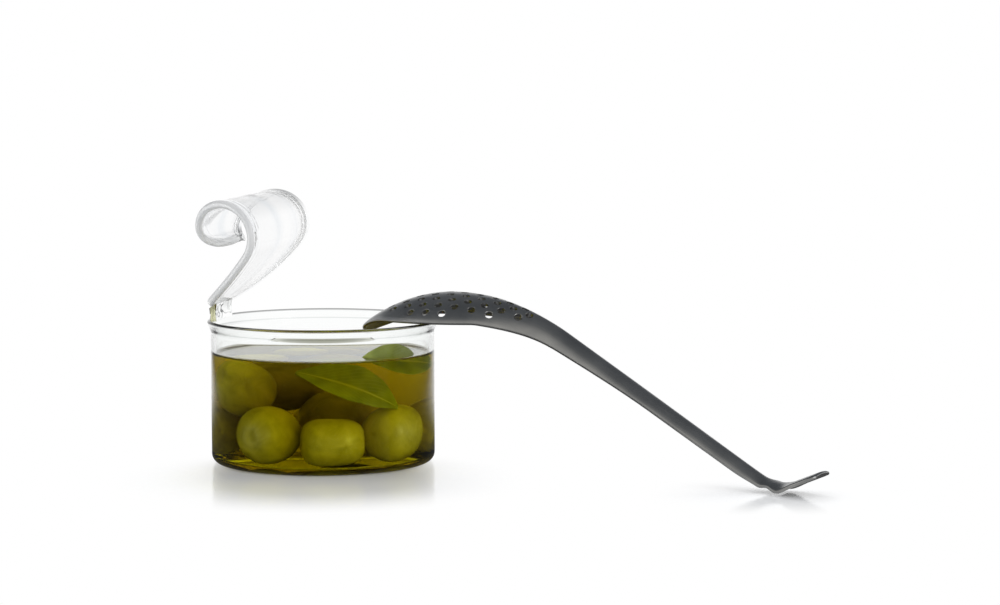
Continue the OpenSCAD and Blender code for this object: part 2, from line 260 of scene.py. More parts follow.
def glass_material(name, mirror, tint=(0.985, 0.995, 0.99), pass_tint_and_shade=None):
    """Clear blown glass, faintly uneven.

    Oil and glass bend light alike, so where oil wets the glass other rays go straight through with
    a tint; on the jar's floor that tint is dark, painted shade.
    """
    material, tree, shader, output = new_material(name)
    shader.inputs["Base Color"].default_value = (*tint, 1)
    shader.inputs["Transmission Weight"].default_value = 1
    shader.inputs["IOR"].default_value = GLASS_IOR
    shader.inputs["Specular Tint"].default_value = (mirror, mirror, mirror, 1)
    uneven = grained(tree, 90, 2, (1, 1, 0.35))
    tree.links.new(spread(tree, uneven, 0, 0.012), shader.inputs["Roughness"])
    tree.links.new(bump(tree, uneven, 0.06, 0.0004), shader.inputs["Normal"])
    if pass_tint_and_shade:
        pass_on(tree, BOUNCED_RAYS + LAMP_RAYS, shader, output, pass_tint_and_shade)
    else:
        pass_on(tree, LAMP_RAYS, shader, output)
    return material


def lid_material():
    """The lid's sheet: glass with soft grey streaks along its roll; their grey tint also paints
    shade in the clear sheet.
    """
    material, tree, shader, output = new_material("lid_glass")
    uv = node(tree, "UVMap", uv_map="roll").outputs["UV"]
    drawn = node(tree, "Mapping", {"Vector": uv, "Scale": (6, 55, 1)})
    streak = node(
        tree,
        "TexNoise",
        {"Vector": drawn.outputs["Vector"], "Scale": 1, "Detail": 3, "Distortion": 0.5},
    ).outputs["Fac"]
    # Grey streak tint: uneven glass, and painted shade that greys the clear sheet
    tone = ramp(
        tree,
        streak,
        (0.32, (0.81, 0.84, 0.87)),
        (0.46, (0.935, 0.942, 0.948)),
        (0.66, (0.975, 0.972, 0.97)),
    )
    tree.links.new(tone, shader.inputs["Base Color"])
    shader.inputs["Transmission Weight"].default_value = 1
    shader.inputs["IOR"].default_value = LID_IOR
    shader.inputs["Roughness"].default_value = 0
    tree.links.new(bump(tree, streak, 0.04, 0.001), shader.inputs["Normal"])
    pass_on(tree, LAMP_RAYS, shader, output)
    return material


def lid_edge_material():
    """The lid's cut edge, melted round: its pale, mostly diffuse colour paints the light that the
    sheet gathers and gives off outwards.
    """
    material, tree, shader, output = new_material("lid_edge")
    uneven = grained(tree, 60, 2)
    # Pale edge colour: a painted glow of the light gathered in the sheet
    tone = ramp(tree, uneven, (0.3, (0.90, 0.91, 0.91)), (0.7, (0.97, 0.97, 0.965)))
    tree.links.new(tone, shader.inputs["Base Color"])
    shader.inputs["Transmission Weight"].default_value = 0.3
    shader.inputs["IOR"].default_value = GLASS_IOR
    tree.links.new(spread(tree, uneven, 0.15, 0.3), shader.inputs["Roughness"])
    tree.links.new(bump(tree, uneven, 0.06, 0.0004), shader.inputs["Normal"])
    pass_on(tree, INSIDE_RAYS + LAMP_RAYS, shader, output)
    return material


def oil_material():
    """Olive oil: clear, with its colour in its depth; only its open surface can be seen."""
    material, tree, shader, output = new_material("olive_oil")
    shader.inputs["Base Color"].default_value = (1, 1, 1, 1)
    shader.inputs["Transmission Weight"].default_value = 1
    shader.inputs["Roughness"].default_value = 0
    shader.inputs["IOR"].default_value = GLASS_IOR
    shader.inputs["Specular Tint"].default_value = (0, 0, 0, 1)
    tree.links.new(bump(tree, grained(tree, 60, 2), 0.05, 0.0003), shader.inputs["Normal"])
    depth = node(tree, "VolumeAbsorption", {"Color": (0.925, 0.905, 0.0, 1), "Density": 240})
    tree.links.new(depth.outputs["Volume"], output.inputs["Volume"])
    marked = node(tree, "UVMap", uv_map="surface").outputs["UV"]
    is_open = node(tree, "SeparateXYZ", {"Vector": marked}).outputs["X"]
    ends = {0: is_open, 1: clear(tree), 2: shader.outputs["BSDF"]}
    covered = node(tree, "MixShader", ends).outputs["Shader"]
    past = for_rays(tree, BOUNCED_RAYS, shader.outputs["BSDF"], covered)
    tree.links.new(for_rays(tree, LAMP_RAYS, past, clear(tree)), output.inputs["Surface"])
    return material


def olive_material():
    """Green olive skin: mottled, with pale pores and a browner bloom."""
    material, tree, shader, _ = new_material("olive_skin")
    blotch = grained(tree, 120, 4, distortion=0.6)
    skin = ramp(
        tree,
        blotch,
        (0.30, (0.37, 0.335, 0.05)),
        (0.50, (0.49, 0.45, 0.085)),
        (0.68, (0.60, 0.55, 0.13)),
    )
    place = node(tree, "TexCoord").outputs["Object"]
    pores = node(tree, "TexVoronoi", {"Vector": place, "Scale": 900}).outputs["Distance"]
    pale = ranged(tree, pores, 0.12, 0.25, 0.2, 0)
    spotted = blend(tree, pale, skin, (0.72, 0.70, 0.36, 1))
    tree.links.new(spotted, shader.inputs["Base Color"])
    tree.links.new(spread(tree, blotch, 0.3, 0.5), shader.inputs["Roughness"])
    shader.inputs["Specular IOR Level"].default_value = 0.15
    shader.inputs["Coat Weight"].default_value = 0.7
    shader.inputs["Coat Roughness"].default_value = 0.05
    shader.inputs["Subsurface Weight"].default_value = 0.25
    shader.inputs["Subsurface Radius"].default_value = (0.004, 0.0035, 0.001)
    shader.inputs["Subsurface Scale"].default_value = 1
    tree.links.new(bump(tree, grained(tree, 300, 2), 0.06, 0.0003), shader.inputs["Normal"])
    return material


VEIN_LEAN, VEIN_PITCH = -0.45, 75.0


def leaf_material():
    """A green leaf with a paler midrib and side veins."""
    material, tree, shader, _ = new_material("leaf_green")
    uv = node(tree, "UVMap", uv_map="leaf").outputs["UV"]
    axes = node(tree, "SeparateXYZ", {"Vector": uv})
    across = calc(tree, "ABSOLUTE", axes.outputs["Y"])
    rib = ranged(tree, across, 0.02, 0.09, 1, 0)
    along = calc(tree, "ADD", axes.outputs["X"], calc(tree, "MULTIPLY", across, VEIN_LEAN))
    wave = calc(tree, "SINE", calc(tree, "MULTIPLY", along, VEIN_PITCH))
    both = calc(tree, "MAXIMUM", rib, ranged(tree, wave, 0.86, 1, 0, 0.4))
    blade = ramp(
        tree,
        grained(tree, 160, 4),
        (0.3, (0.20, 0.25, 0.03)),
        (0.7, (0.33, 0.38, 0.07)),
    )
    ribbed = blend(tree, both, blade, (0.50, 0.52, 0.16, 1))
    tree.links.new(ribbed, shader.inputs["Base Color"])
    shader.inputs["Roughness"].default_value = 0.45
    shader.inputs["Specular IOR Level"].default_value = 0.2
    tree.links.new(bump(tree, both, 0.3, 0.0004), shader.inputs["Normal"])
    return material


def steel_material():
    """Dark tumbled steel with fine lengthwise brushing."""
    material, tree, shader, _ = new_material("tumbled_steel")
    uv = node(tree, "UVMap", uv_map="brush").outputs["UV"]
    lines = node(tree, "Mapping", {"Vector": uv, "Scale": (18, 900, 1)})
    brushed = node(
        tree, "TexNoise", {"Vector": lines.outputs["Vector"], "Scale": 1, "Detail": 3}
    ).outputs["Fac"]
    cloudy = grained(tree, 70, 4)
    tone = ramp(tree, cloudy, (0.3, (0.28, 0.285, 0.285)), (0.7, (0.40, 0.40, 0.39)))
    tree.links.new(tone, shader.inputs["Base Color"])
    shader.inputs["Metallic"].default_value = 1
    tree.links.new(spread(tree, brushed, 0.22, 0.42), shader.inputs["Roughness"])
    tree.links.new(bump(tree, brushed, 0.08, 0.0002), shader.inputs["Normal"])
    return material


jar_glass = glass_material("jar_glass", 0.15)
wetted_glass = glass_material("jar_glass_wetted", 0, pass_tint_and_shade=(1, 1, 1))
# The jar floor's dark tint is painted shade in the foot and under the jar
foot_shade_glass = glass_material("jar_glass_floor_shade", 0, pass_tint_and_shade=(0.55, 0.53, 0.38))
# Darker tint on the neck's crease: a painted dark line round the neck
neck_shade_glass = glass_material("jar_glass_neck_shade", 0.3, (0.70, 0.73, 0.72))
weld_glass = glass_material("weld_glass", 1, (0.60, 0.60, 0.38))
lid_glass = lid_material()
lid_edge = lid_edge_material()
olive_oil = oil_material()
olive_skin = olive_material()
leaf_green = leaf_material()
tumbled_steel = steel_material()

# Jar: a blown wall with a flared rim and a slightly hollow standing face

BODY_R, WALL_T, JAR_H = 48.0, 2.0, 61.5
INNER_R = BODY_R - WALL_T
BASE_T, CORNER_R = 2.6, 4.0
INNER_CORNER_R = CORNER_R - WALL_T
RIM_R, RIM_H = 49.5, 4.0
LIP_R = WALL_T / 2
LIP_Z, FLARE_Z = JAR_H - LIP_R, JAR_H - RIM_H
OIL_Z, MENISCUS_H, CREEP_T = 47.0, 1.2, 0.2
LAP = 0.15
CREASE_H, CREASE_OUT = 1.0, 0.25
# Height band of the neck's crease that gets the painted dark line
NECK_BAND = (FLARE_Z - 0.6, FLARE_Z + 0.1)
FOOT_HOLLOW, FOOT_RISE = 0.5, ((20, 1), (34, 0.8), (40, 0.2), (42, 0))
JAR_SEGMENTS = 192
PLAIN, WETTED, NECK, FLOOR = range(4)


def glass_wave(z, t):
    """How far a blown wall strays from round, in millimetres."""
    return 0.05 * math.sin(3 * t + z / 9) + 0.03 * math.sin(7 * t - z / 6 + 1.3)


wet_top = OIL_Z + MENISCUS_H
outside = (
    [(0, FOOT_HOLLOW)]
    + [(r, FOOT_HOLLOW * share) for r, share in FOOT_RISE]
    + arc((BODY_R - CORNER_R, CORNER_R), CORNER_R, -90, 0, 10)
    + line((BODY_R, CORNER_R), (BODY_R, FLARE_Z - CREASE_H), 24)
    + line((BODY_R, FLARE_Z - CREASE_H), (BODY_R + CREASE_OUT, FLARE_Z), 2)
    + line((BODY_R + CREASE_OUT, FLARE_Z), (RIM_R, LIP_Z), 6)
)
lip = arc((RIM_R - LIP_R, LIP_Z), LIP_R, 0, 180, 12)
inside_dry = line((RIM_R - WALL_T, LIP_Z), (INNER_R + CREASE_OUT, FLARE_Z), 6)
inside_dry += line((INNER_R + CREASE_OUT, FLARE_Z), (INNER_R, FLARE_Z - CREASE_H), 2)
inside_dry += line((INNER_R, FLARE_Z - CREASE_H), (INNER_R, wet_top), 8)
inside_wet = line((INNER_R, wet_top), (INNER_R, BASE_T + INNER_CORNER_R), 20)
inside_wet += arc(
    (INNER_R - INNER_CORNER_R, BASE_T + INNER_CORNER_R), INNER_CORNER_R, 0, -90, 8
)[1:]
inside_wet += [(30, BASE_T), (15, BASE_T), (0, BASE_T)]
jar_profile = outside + lip[1:] + inside_dry + inside_wet
jar_points, jar_faces = lathe(jar_profile, JAR_SEGMENTS, glass_wave)
dry_rings = len(outside) + len(lip) - 1 + len(inside_dry)
dry_faces = JAR_SEGMENTS * (dry_rings - 1)
neck_bands = [
    i
    for i, (a, b) in enumerate(zip(outside, outside[1:]))
    if a[1] > NECK_BAND[0] and b[1] < NECK_BAND[1]
]


def jar_slot(face):
    """Material of a face: plain, wetted under the oil, the crease of the neck with a painted dark
    line, or the floor with painted shade.
    """
    band = face // JAR_SEGMENTS
    if face >= dry_faces:
        height = jar_profile[min(band, len(jar_profile) - 1)][1]
        return FLOOR if height < BASE_T + INNER_CORNER_R / 2 else WETTED
    return NECK if band in neck_bands else PLAIN


jar_slots = [jar_slot(i) for i in range(len(jar_faces))]
piece(
    "jar_glass_body",
    jar_points,
    jar_faces,
    [jar_glass, wetted_glass, neck_shade_glass, foot_shade_glass],
    "jar",
    ["jar_body"],
    jar_slots,
)

# Oil: it fills the jar to the glass, and creeps up the wall

oil_out = INNER_R + LAP
oil_profile = (
    [(0, BASE_T - LAP), (15, BASE_T - LAP), (30, BASE_T - LAP)]
    + arc((INNER_R - INNER_CORNER_R, BASE_T + INNER_CORNER_R), INNER_CORNER_R + LAP, -90, 0, 8)
    + line((oil_out, BASE_T + INNER_CORNER_R), (oil_out, wet_top), 20)
    + [(INNER_R, wet_top), (INNER_R - CREEP_T, wet_top - 0.05)]
    + arc((INNER_R - CREEP_T - MENISCUS_H, wet_top), MENISCUS_H, -5, -90, 8)
    + [(40, OIL_Z), (30, OIL_Z), (15, OIL_Z), (0, OIL_Z)]
)
oil_points, oil_faces = lathe(oil_profile, JAR_SEGMENTS)
oil = piece("oil_fill", oil_points, oil_faces, [olive_oil], "jar", ["oil"])
oil_map = oil.data.uv_layers.new(name="surface")  # 1 on the open surface, 0 where glass covers it
for face in oil.data.polygons:
    middle = face.center / MM
    is_open = middle.z > OIL_Z - 0.1 and math.hypot(middle.x, middle.y) < INNER_R - CREEP_T / 2
    for corner in face.loop_indices:
        oil_map.data[corner].uv = (1 if is_open else 0, 0)

# Rolled lid: a disc as wide as the rim, rolled up from a straight chord

LID_T, LID_TURN, LID_LEAN = 2.6, 10, 37
HINGE_W, HINGE_INSET, HINGE_H = 33.0, 0.6, 6.8
# Straight foot, then radius and sweep of each bend
ROLL = [(6.5, 0), (102, 15), (13.8, 107), (12.9, 109), (5.4, 112)]
LID_STEPS, LID_ACROSS, LID_EDGE, LID_STOP = 330, 64, 8, 0.02
BEAD, BEAD_W = 0.30, 3.4
RING, RING_IN, RING_W = 0.10, 7.5, 1.3
hinge_c = math.sqrt(RIM_R**2 - (HINGE_W / 2) ** 2)
hinge_x = math.sqrt((RIM_R - HINGE_INSET) ** 2 - (HINGE_W / 2) ** 2)
hinge_z = JAR_H + HINGE_H
lid_len = RIM_R + hinge_c


def roll_line(steps=4000, soften=3.0):
    """Distance, place and heading along the lid's middle line, its bends eased into each other."""
    s = np.linspace(0, lid_len, steps)
    curve = np.zeros(steps)
    start = ROLL[0][0]
    for radius, sweep in ROLL[1:]:
        end = start + radius * math.radians(sweep)
        curve[(s >= start) & (s < end)] = 1 / radius
        start = end
    step = s[1] - s[0]
    window = np.hanning(2 * int(soften / step) + 1)
    padded = np.pad(curve, len(window) // 2, mode="edge")
    eased = np.convolve(padded, window / window.sum(), "valid")
    heading = math.radians(LID_LEAN) + np.concatenate([[0], np.cumsum(eased[1:] * step)])
    x = np.concatenate([[0], np.cumsum(-np.cos(heading[1:]) * step)])
    z = np.concatenate([[0], np.cumsum(np.sin(heading[1:]) * step)])
    return s, x, z, heading


def thickened(inward):
    """Thickness of the sheet near its edge: a melted bead, and a faint pressed ring further in."""
    bead = BEAD * math.exp(-((inward / BEAD_W) ** 2))
    return 1 + bead + RING * math.exp(-(((inward - RING_IN) / RING_W) ** 2))


def lid_points():
    """Rings of points round the lid's glass, from its foot to its free end."""
    s_all, x_all, z_all, h_all = roll_line()
    half = LID_T / 2
    share = np.linspace(0, 1, LID_STEPS)
    stations = half + (lid_len - half - LID_STOP) * np.sin(share * math.pi / 2)
    foot = half - half * np.cos(np.radians(np.linspace(8, 90, 8)))
    rings, places = [], []
    for s in np.concatenate([foot[:-1], stations]):
        x, z, h = (np.interp(s, s_all, a) for a in (x_all, z_all, h_all))
        near_end = max(1 - s / half, (s - lid_len) / half + 1, 0)
        e = half * math.sqrt(max(1 - near_end**2, 1e-4))
        bead = e * (1 + BEAD)
        w = max(math.sqrt(max(RIM_R**2 - (s - hinge_c) ** 2, 0)) - bead, 0.01)
        places_y = [w * math.cos(math.pi * k / LID_ACROSS) for k in range(1, LID_ACROSS)]
        across = [(y, e * thickened(w - abs(y))) for y in places_y]
        edge = np.radians(np.linspace(90, -90, LID_EDGE + 1))
        ring = [(w + bead * math.cos(a), bead * math.sin(a)) for a in edge]
        ring += [(y, -n) for y, n in across]
        ring += [(-w - bead * math.cos(a), -bead * math.sin(a)) for a in edge]
        ring += [(-y, n) for y, n in across]
        foot_x, foot_z = hinge_x + x, hinge_z + z
        rings += [(foot_x + n * math.sin(h), y, foot_z + n * math.cos(h)) for y, n in ring]
        places += [(s * MM, y * MM) for y, _ in ring]
    return rings, places, 2 * (LID_EDGE + 1) + 2 * (LID_ACROSS - 1)


lid_rings, lid_places, lid_cols = lid_points()
lid_rows = len(lid_rings) // lid_cols
lid_faces = loop_faces(lid_rows, lid_cols)
lid_slots = [int(j % (lid_cols // 2) < LID_EDGE) for j in range(len(lid_faces))] + [0, 0]
lid_faces.append(tuple(range(lid_cols - 1, -1, -1)))
lid_faces.append(tuple(range((lid_rows - 1) * lid_cols, lid_rows * lid_cols)))
lid = piece(
    "lid_rolled_glass",
    turned(lid_rings, 180 - LID_TURN),
    lid_faces,
    [lid_glass, lid_edge],
    "jar",
    ["lid_curl"],
    lid_slots,
    sharp=60,
)
roll_map = lid.data.uv_layers.new(name="roll")
for corner in lid.data.loops:
    roll_map.data[corner.index].uv = lid_places[corner.vertex_index]

# Welded bridge between the rim and the lid: thick at its ends and drawn thin between them

BRIDGE_T, BRIDGE_LAP, BRIDGE_SINK = 4.4, 1.0, 0.25
BRIDGE_WAIST, BRIDGE_WEB, BRIDGE_LUMPS = 0.2, 0.62, 0.10
BRIDGE_STEPS, BRIDGE_ROWS = 60, 16


def bridge_points():
    """Loops round the bridge, each at one height and following the rim's arc."""
    middle_r = RIM_R - HINGE_INSET / 2 - BRIDGE_T / 2
    half_turn = math.asin((HINGE_W - BRIDGE_T) / 2 / middle_r)
    low = JAR_H - BRIDGE_LAP * 0.6
    lean = math.radians(LID_LEAN)
    under_lid = LID_T / 2 / math.cos(lean) - BRIDGE_SINK
    rows = []
    for i in range(BRIDGE_ROWS + 1):
        t = i / BRIDGE_ROWS
        waist = 1 - BRIDGE_WAIST * math.sin(math.pi * t)
        loop = []
        for side in (1, -1):
            for k in range(BRIDGE_STEPS + 1):
                a = side * (1 - 2 * k / BRIDGE_STEPS)
                web = BRIDGE_WEB + (1 - BRIDGE_WEB) * abs(a) ** 6
                thick = BRIDGE_T / 2 * waist * web * math.sqrt(max(1 - abs(a) ** 24, 0.02))
                thick *= 1 + BRIDGE_LUMPS * noise.noise((4 * a, 2 * t, 7 * side))
                turn = a * half_turn * (1 - 0.05 * math.sin(math.pi * t))
                r = middle_r + side * thick
                x, y = r * math.cos(turn), r * math.sin(turn)
                top = hinge_z + (hinge_x - x) * math.tan(lean) - under_lid
                loop.append((x, y, low + (top - low) * t))
        rows += loop
    return rows, 2 * (BRIDGE_STEPS + 1)


bridge_rings, bridge_cols = bridge_points()
bridge_rows = BRIDGE_ROWS + 1
bridge_faces = loop_faces(bridge_rows, bridge_cols)
for row, flip in ((0, True), (bridge_rows - 1, False)):
    base = row * bridge_cols
    for k in range(BRIDGE_STEPS):
        quad = (base + k, base + k + 1, base + bridge_cols - 2 - k, base + bridge_cols - 1 - k)
        bridge_faces.append(quad[::-1] if flip else quad)
piece(
    "lid_weld",
    turned(bridge_rings, 180 - LID_TURN),
    bridge_faces,
    [weld_glass],
    "jar",
    ["lid_bridge"],
    sharp=60,
)

# Olives: rounded ovals, each a little uneven, with the hollow of the stem at one end

OLIVE_D, OLIVE_L = 23.4, 25.6
# Size, lengthening, tilt, turn and squareness of each olive
OLIVES = {
    "olive_front_left": (1.06, 1, 90, 230, 2.2),
    "olive_front": (0.86, 1.12, 90, 8, 3.2),
    "olive_front_right": (1.05, 1, 90, 60, 2.2),
    "olive_back_right": (1, 1, 90, 110, 2.2),
    "olive_back": (1, 1, 90, 20, 2.2),
    "olive_left": (1, 1, 90, 75, 2.2),
    "olive_centre": (1.12, 1.06, 0, 0, 2.2),
    "olive_upper_left": (1.02, 1, 70, 200, 2.2),
    "olive_upper_back": (1, 1, 60, 30, 2.2),
}
OLIVE_RINGS, OLIVE_SEGMENTS = 48, 72
OLIVE_TAPER, OLIVE_LUMPS = 0.05, 0.016
STEM_HOLLOW, TIP_HOLLOW = (1.3, 2.6), (0.5, 1.2)


def olive_points(size, longer, tilt, turn, power, seed):
    """A superellipse turned about its long axis, with soft dents and a stem hollow, tilted."""
    points = []
    for i in range(OLIVE_RINGS + 1):
        a = math.pi * (i / OLIVE_RINGS - 0.5)
        c, s = abs(math.cos(a)), math.sin(a)
        r = OLIVE_D / 2 * c ** (2 / power)
        z = longer * OLIVE_L / 2 * math.copysign(abs(s) ** (2 / power), s)
        r *= 1 - OLIVE_TAPER * s
        deep, wide = STEM_HOLLOW if s > 0 else TIP_HOLLOW
        z -= math.copysign(deep * math.exp(-((r / wide) ** 2)), s)
        for j in range(OLIVE_SEGMENTS):
            t = 2 * math.pi * j / OLIVE_SEGMENTS
            p = Vector((r * math.cos(t), r * math.sin(t), z))
            lumps = noise.noise(p * 0.09 + Vector((seed * 7.1, 3.3, 1.7)))
            p *= 1 - 0.012 + OLIVE_LUMPS * lumps
            points.append(p * size)
    a, b = math.radians(tilt), math.radians(turn)
    p = np.array(points)
    x = p[:, 0] * math.cos(a) + p[:, 2] * math.sin(a)
    z = -p[:, 0] * math.sin(a) + p[:, 2] * math.cos(a)
    return turned(np.column_stack([x, p[:, 1], z]), math.degrees(b))


olive_faces = loop_faces(OLIVE_RINGS + 1, OLIVE_SEGMENTS)
for seed, (name, shape) in enumerate(OLIVES.items()):
    low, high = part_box(name)
    points = olive_points(*shape, seed)
    middle = np.array((low + high) / 2) / MM
    middle[2] = low[2] / MM - points[:, 2].min()
    points = points + middle
    piece(name + "_fruit", points, olive_faces, [olive_skin], "jar", [name], sharp=80)

# Leaves: folded blades with a raised midrib

LEAF_L, LEAF_W, LEAF_T, LEAF_FOLD, LEAF_SAG, LEAF_TAPER = 42.0, 18.0, 0.7, 20, 3.0, 0.8
RIB_H, RIB_W, RIPPLE_H, RIPPLES = 0.35, 0.5, 0.25, 24
# Place of the middle, turns about X, Y and Z, and size of each leaf
LEAVES = {
    "leaf_front": ((0.25 * INNER_R, -0.56 * INNER_R, OIL_Z - 0.62 * LEAF_W), (47, 22, 0), 1.0),
    "leaf_right": ((0.67 * INNER_R, -0.26 * INNER_R, OIL_Z - LEAF_W / 9), (68, 8, 35), 0.74),
}
LEAF_STEPS, LEAF_COLS = 60, 24


def turn_matrix(x, y, z):
    """The turn of a piece about X, then Y, then Z, in degrees."""
    a, b, c = (math.radians(v) for v in (x, y, z))
    rx = np.array([[1, 0, 0], [0, math.cos(a), -math.sin(a)], [0, math.sin(a), math.cos(a)]])
    ry = np.array([[math.cos(b), 0, math.sin(b)], [0, 1, 0], [-math.sin(b), 0, math.cos(b)]])
    rz = np.array([[math.cos(c), -math.sin(c), 0], [math.sin(c), math.cos(c), 0], [0, 0, 1]])
    return rz @ ry @ rx


def leaf_side(h):
    """One side of the blade as rows of points, with places along and across for the veins."""
    points, places = [], []
    for i in range(LEAF_STEPS + 1):
        u = 0.01 + 0.98 * i / LEAF_STEPS
        half = LEAF_W / 2 * math.sin(math.pi * u) ** LEAF_TAPER
        for j in range(LEAF_COLS + 1):
            v = 2 * j / LEAF_COLS - 1
            y = v * half
            rib = RIB_H * math.exp(-((y / RIB_W) ** 2))
            edge = 0.25 + 0.75 * math.sqrt(max(1 - abs(v) ** 4, 0))
            ripple = RIPPLE_H * abs(v) * math.sin(RIPPLES * u + 2 * v)
            z = abs(y) * math.tan(math.radians(LEAF_FOLD)) - LEAF_SAG * (2 * u - 1) ** 2 + ripple
            points.append((LEAF_L * (u - 0.5), y, z + h * (LEAF_T / 2 * edge + rib)))
            places.append((u, v))
    return points, places


def leaf_mesh():
    """Both sides of the blade, joined round its border."""
    top, places = leaf_side(1)
    bottom, _ = leaf_side(-1)
    cols, count = LEAF_COLS + 1, len(top)
    faces = []
    for i in range(LEAF_STEPS):
        for j in range(LEAF_COLS):
            q = (i * cols + j, i * cols + j + 1, (i + 1) * cols + j + 1, (i + 1) * cols + j)
            faces += [q[::-1], tuple(count + k for k in q)]
    border = list(range(cols)) + [i * cols + cols - 1 for i in range(1, LEAF_STEPS + 1)]
    border += [LEAF_STEPS * cols + j for j in range(cols - 2, -1, -1)]
    border += [i * cols for i in range(LEAF_STEPS - 1, 0, -1)]
    for a, b in zip(border, border[1:] + border[:1]):
        faces.append((a, b, count + b, count + a))
    return np.array(top + bottom), faces, places + places


leaf_points, leaf_faces, leaf_places = leaf_mesh()
for name, (at, tilt, size) in LEAVES.items():
    points = (leaf_points * size) @ turn_matrix(*tilt).T + np.array(at)
    blade = piece(
        name + "_blade", points, leaf_faces, [leaf_green], "jar", [name], sharp=70
    )
    layer = blade.data.uv_layers.new(name="leaf")
    for corner in blade.data.loops:
        layer.data[corner.index].uv = leaf_places[corner.vertex_index]

# Spoon: a pressed sheet with a crest line, a channelled handle and rows of drain holes

SPOON_T, BOWL_W, BOWL_DEPTH, BOWL_WIDE_AT = 1.6, 47.0, 11.0, 38.0
TOE_R, TOE_SWEEP, TOE_DROOP, HOLE_D, HOLE_PITCH = 62.0, 44, 6.0, 3.3, 7.3
NECK_R, NECK_AT, HANDLE_L, NECK_W, HANDLE_W = 107.0, 92.0, 104.0, 12.6, 9.2
HANDLE_ARCH, BEND_ARCH, BEND_R, TAIL_RISE, TAIL_L, TAIL_W = 4.4, 2.4, 18.0, 23, 11.0, 17.0
SPOON_TURN, SPOON_OFFSET, SPOON_REACH, REST_GAP = -30, 16.3, 33.4, 0.3
ARC_HALF, DROOP_L, LEVEL_L = 70, 0.58 * BOWL_WIDE_AT, 1.63 * BOWL_WIDE_AT
ARCH_L, BEND_L = 0.75 * HANDLE_L, 1.8 * TAIL_L
FLARE_L, FLARE_BACK, TAIL_ROUND = BEND_L, 0.6 * BEND_L, 0.2 * TAIL_W
TAIL_BLUNT, TAIL_ARCH, TIP_END = 0.4, BEND_ARCH / 3, SPOON_T / 4
BEND_RELIEF = 0.6
edge_z = JAR_H + REST_GAP + SPOON_T / 2
crest_z = edge_z + BOWL_DEPTH
bend_z = REST_GAP + SPOON_T / 2 + BEND_ARCH
crest_x = TOE_R * math.sin(math.radians(TOE_SWEEP))
round_r = NECK_R + BEND_R
slope = math.atan2(round_r, HANDLE_L) + math.asin(
    (crest_z - bend_z - round_r) / math.hypot(HANDLE_L, round_r)
)
handle_x = crest_x + NECK_R * math.sin(slope)
handle_z = crest_z - NECK_R * (1 - math.cos(slope))
handle_end = handle_x + HANDLE_L * math.cos(slope)
bend_x = handle_end + BEND_R * math.sin(slope)
rise = math.radians(TAIL_RISE)
tail_x = bend_x + BEND_R * math.sin(rise)
tail_z = bend_z + BEND_R * (1 - math.cos(rise))
end_x = tail_x + TAIL_L * math.cos(rise)
flare_x = bend_x - FLARE_BACK
relief_x, relief_half = bend_x - 0.2 * BEND_L, 0.22 * BEND_L
tail_fade = 0.45 * (end_x - bend_x)
tip_x = math.sqrt(RIM_R**2 - SPOON_OFFSET**2) - SPOON_REACH


def crest(x):
    """Height of the crest line."""
    return np.select(
        [x <= crest_x, x <= handle_x, x <= handle_end, x <= tail_x],
        [
            crest_z - TOE_R + np.sqrt(np.maximum(TOE_R**2 - (crest_x - x) ** 2, 0)),
            crest_z - NECK_R + np.sqrt(np.maximum(NECK_R**2 - (x - crest_x) ** 2, 0)),
            handle_z - (x - handle_x) * math.tan(slope),
            bend_z + BEND_R - np.sqrt(np.maximum(BEND_R**2 - (x - bend_x) ** 2, 0)),
        ],
        tail_z + (x - tail_x) * math.tan(rise),
    )


def spoon_half(x):
    """Half of the spoon's width in plan."""
    neck = np.clip((x - BOWL_WIDE_AT) / (NECK_AT - BOWL_WIDE_AT), 0, 1)
    handle = np.clip((x - NECK_AT) / (flare_x - NECK_AT), 0, 1)
    tail = (HANDLE_W + (TAIL_W - HANDLE_W) * smooth((x - flare_x) / FLARE_L)) / 2
    blunt = np.sqrt(1 - TAIL_BLUNT * np.clip((x - end_x) / TAIL_ROUND + 1, 0, 1) ** 2)
    return np.select(
        [x <= BOWL_WIDE_AT, x <= NECK_AT, x <= flare_x],
        [
            BOWL_W / 2 * np.sqrt(np.maximum(1 - (1 - x / BOWL_WIDE_AT) ** 2, 0)),
            NECK_W / 2 + (BOWL_W - NECK_W) / 4 * (1 + np.cos(np.pi * neck)),
            (NECK_W + (HANDLE_W - NECK_W) * handle) / 2,
        ],
        tail * blunt,
    )


def spoon_arch(x):
    """Depth of the section from its crest to its edge."""
    level = crest(np.float64(LEVEL_L)) - edge_z
    return np.select(
        [x <= DROOP_L, x <= LEVEL_L, x <= bend_x - BEND_L, x <= bend_x],
        [
            crest(x) - edge_z + TOE_DROOP * (1 - x / DROOP_L) ** 2,
            crest(x) - edge_z,
            level + (HANDLE_ARCH - level) * smooth((x - LEVEL_L) / ARCH_L),
            (1 - BEND_RELIEF * smooth(1 - np.abs(x - relief_x) / relief_half))
            * (HANDLE_ARCH + (BEND_ARCH - HANDLE_ARCH) * smooth((x - bend_x) / BEND_L + 1)),
        ],
        BEND_ARCH + (TAIL_ARCH - BEND_ARCH) * smooth((x - bend_x) / tail_fade),
    )


def spoon_at(x, u):
    """Middle of the sheet at a distance from the tip and a share of the half width."""
    a = math.radians(ARC_HALF)
    drop = spoon_arch(x) * (1 - np.cos(a * u)) / (1 - math.cos(a))
    return np.stack([x, spoon_half(x) * np.sin(a * u) / math.sin(a), crest(x) - drop], -1)


